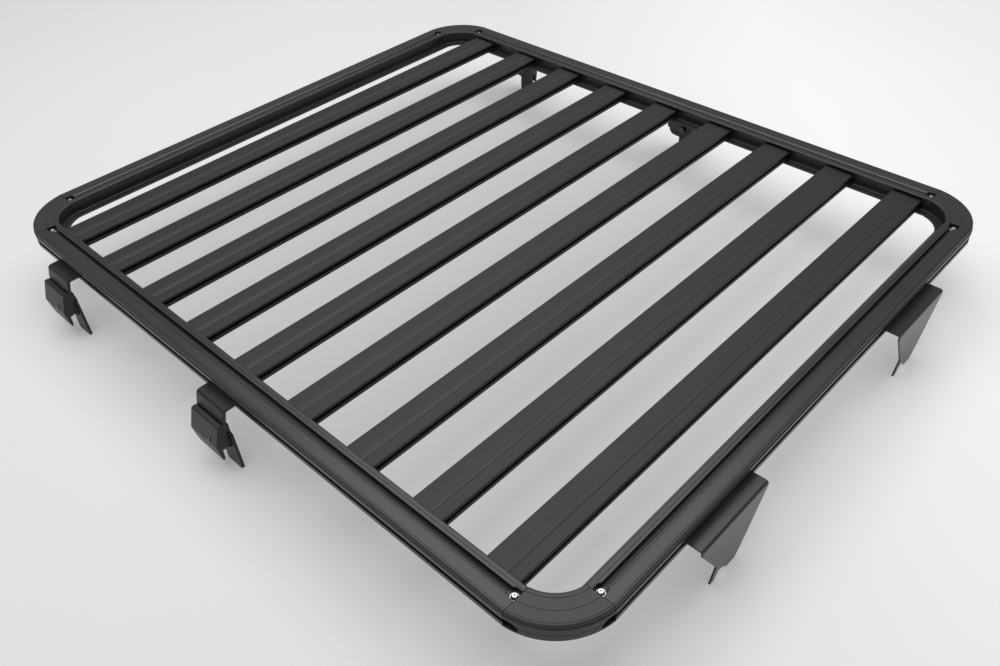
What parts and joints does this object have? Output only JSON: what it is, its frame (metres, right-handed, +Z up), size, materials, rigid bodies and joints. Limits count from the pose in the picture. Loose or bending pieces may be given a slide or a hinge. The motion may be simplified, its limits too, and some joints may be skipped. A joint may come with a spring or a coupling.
{
  "type": "flat platform roof rack",
  "caption": "Flat slatted platform roof rack: slotted frame rails with rounded cast corners, cross slats, side clamp feet and folded front brackets.",
  "frame": {"origin": "centre of the bounding box at floor level, under the feet", "axes": "+Z up, +Y toward the rear of the vehicle, the folded brackets at -Y, slats along X"},
  "size_m": [1.3112, 1.4184, 0.154],
  "materials": {
    "rail_black": "satin black powder coat on aluminium extrusion",
    "casting_black": "satin black powder coat on cast aluminium",
    "slat_black": "satin black powder coat on aluminium extrusion",
    "bracket_black": "fine textured black powder coat on folded steel",
    "stainless": "plain stainless steel"
  },
  "bodies": {
    "root": {"rail_left": "rail_black", "rail_right": "rail_black", "rail_front": "rail_black", "rail_rear": "rail_black", "corner_front_left": "casting_black", "corner_front_right": "casting_black", "corner_rear_left": "casting_black", "corner_rear_right": "casting_black", "slat_1": "slat_black", "slat_2": "slat_black", "slat_3": "slat_black", "slat_4": "slat_black", "slat_5": "slat_black", "slat_6": "slat_black", "slat_7": "slat_black", "slat_8": "slat_black", "slat_9": "slat_black", "foot_bracket_mid_left": "bracket_black", "foot_bracket_mid_right": "bracket_black", "foot_bracket_rear_left": "bracket_black", "foot_bracket_rear_right": "bracket_black", "foot_jaw_mid_left": "bracket_black", "foot_jaw_mid_right": "bracket_black", "foot_jaw_rear_left": "bracket_black", "foot_jaw_rear_right": "bracket_black", "foot_leg_mid_left": "bracket_black", "foot_leg_mid_right": "bracket_black", "foot_leg_rear_left": "bracket_black", "foot_leg_rear_right": "bracket_black", "foot_bolts": "stainless", "front_bracket_left": "bracket_black", "front_bracket_right": "bracket_black", "corner_screws": "stainless"}
  },
  "joints": []
}
